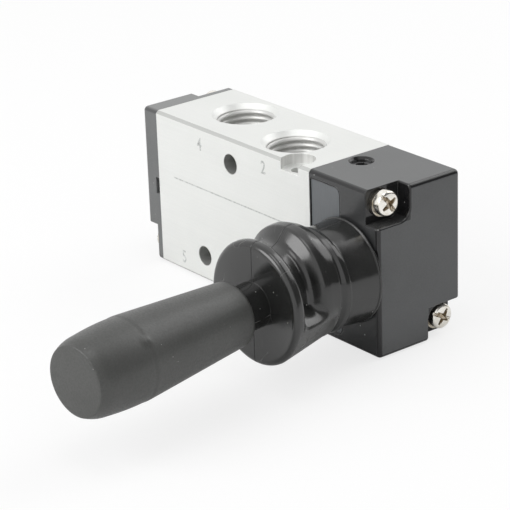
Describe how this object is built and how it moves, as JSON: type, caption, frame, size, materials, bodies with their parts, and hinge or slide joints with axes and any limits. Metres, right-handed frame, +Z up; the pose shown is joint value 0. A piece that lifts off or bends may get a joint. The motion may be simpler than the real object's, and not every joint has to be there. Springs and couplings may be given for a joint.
{
  "type": "hand lever air valve",
  "caption": "Five port, two position spool valve for compressed air, shifted by a hand lever with a rubber boot; detent holds the lever at each end of its swing.",
  "frame": {"origin": "centre of the valve body's underside, on the plane it stands on", "axes": "+X along the spool towards the lever housing, -Y towards the lever's handle, +Z up out of the outlet ports"},
  "size_m": [0.0829, 0.0947, 0.035],
  "materials": {
    "anodised_aluminium": "satin anodised aluminium extrusion, fine grain",
    "cap_paint": "dark satin paint on a die casting",
    "housing_paint": "glossy black paint on a die casting",
    "black_rubber": "black nitrile rubber",
    "boot_rubber": "glossy black moulded rubber",
    "plated_screw": "nickel plated steel",
    "plated_washer": "nickel plated steel",
    "spool_aluminium": "turned and anodised",
    "turned_steel": "turned steel",
    "polished_steel": "ground and polished steel",
    "spring_steel": "spring wire",
    "black_steel": "blackened steel",
    "brass": "turned brass",
    "handle_plastic": "matte dark grey moulded plastic"
  },
  "bodies": {
    "valve": {"valve_body": "anodised_aluminium", "end_cap": "cap_paint", "end_cap_gasket": "black_rubber", "end_cap_screws": "plated_screw", "end_cap_washers": "plated_washer", "spool_bumper": "black_rubber", "lever_housing": "housing_paint", "housing_gasket": "black_rubber", "housing_screws": "plated_screw", "housing_washers": "plated_washer", "guide_bush": "brass", "detent_ball": "polished_steel", "detent_spring": "spring_steel", "detent_set_screw": "black_steel", "lever_pivot_pin": "polished_steel", "rubber_boot": "boot_rubber"},
    "lever": {"lever_rod": "turned_steel", "handle_insert": "brass", "handle_grip": "handle_plastic"},
    "spool": {"spool": "spool_aluminium", "spool_seals": "black_rubber", "drive_link": "turned_steel"}
  },
  "joints": [
    {"name": "lever_swing", "type": "hinge", "parent": "valve", "child": "lever", "pos_m": [0.0364, -0.0132, 0.0175], "axis": [0, 0, 1], "range_deg": [-14, 0], "deforming": ["rubber_boot", "detent_ball", "detent_spring"]},
    {"name": "spool_slide", "type": "slide", "parent": "valve", "child": "spool", "axis": [1, 0, 0], "range_m": [0, 0.00323]}
  ],
  "couplings": [
    {"joint": "spool_slide", "follows": "lever_swing", "m_per_rad": -0.0132}
  ]
}
